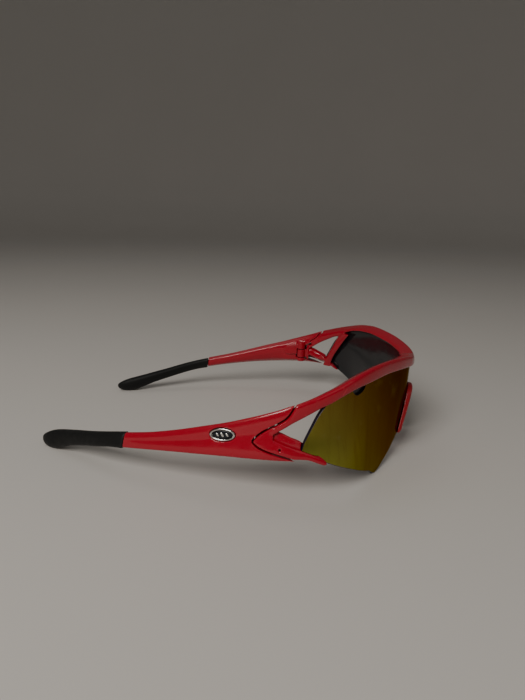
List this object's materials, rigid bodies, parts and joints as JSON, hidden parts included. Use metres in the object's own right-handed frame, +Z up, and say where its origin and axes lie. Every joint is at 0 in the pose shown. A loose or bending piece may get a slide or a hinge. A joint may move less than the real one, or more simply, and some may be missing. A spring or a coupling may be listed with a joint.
{
  "type": "sport sunglasses",
  "caption": "Wrap-around sport sunglasses: forked front frame, mirrored shield lens, nose bridge with pads and two folding temples with rubber tips.",
  "frame": {"origin": "on the table under the middle of the glasses, halfway along their length", "axes": "+Z up, the front faces -Y, +X towards the wearer's left temple"},
  "size_m": [0.14, 0.1675, 0.0487],
  "materials": {
    "gloss_red": "gloss",
    "bridge_red": "gloss",
    "mirror_lens": "mirror coated",
    "soft_rubber": "matte",
    "grip_rubber": "matte",
    "badge_chrome": "polished",
    "badge_enamel": "gloss",
    "screw_steel": "satin"
  },
  "bodies": {
    "front": {"front_frame": "gloss_red", "shield_lens": "mirror_lens", "nose_bridge": "bridge_red", "nose_pad_left": "soft_rubber", "nose_pad_right": "soft_rubber"},
    "left_arm": {"temple_left": "gloss_red", "temple_tip_left": "grip_rubber", "badge_bezel_left": "badge_chrome", "badge_inlay_left": "badge_enamel", "hinge_screw_left": "screw_steel"},
    "right_arm": {"temple_right": "gloss_red", "temple_tip_right": "grip_rubber", "badge_bezel_right": "badge_chrome", "badge_inlay_right": "badge_enamel", "hinge_screw_right": "screw_steel"}
  },
  "joints": [
    {"name": "left_hinge", "type": "hinge", "parent": "front", "child": "left_arm", "pos_m": [0.0639, -0.02375, 0.0248], "axis": [0, 0, 1], "range_deg": [0, 90]},
    {"name": "right_hinge", "type": "hinge", "parent": "front", "child": "right_arm", "pos_m": [-0.0639, -0.02375, 0.0248], "axis": [0, 0, -1], "range_deg": [0, 78]}
  ]
}
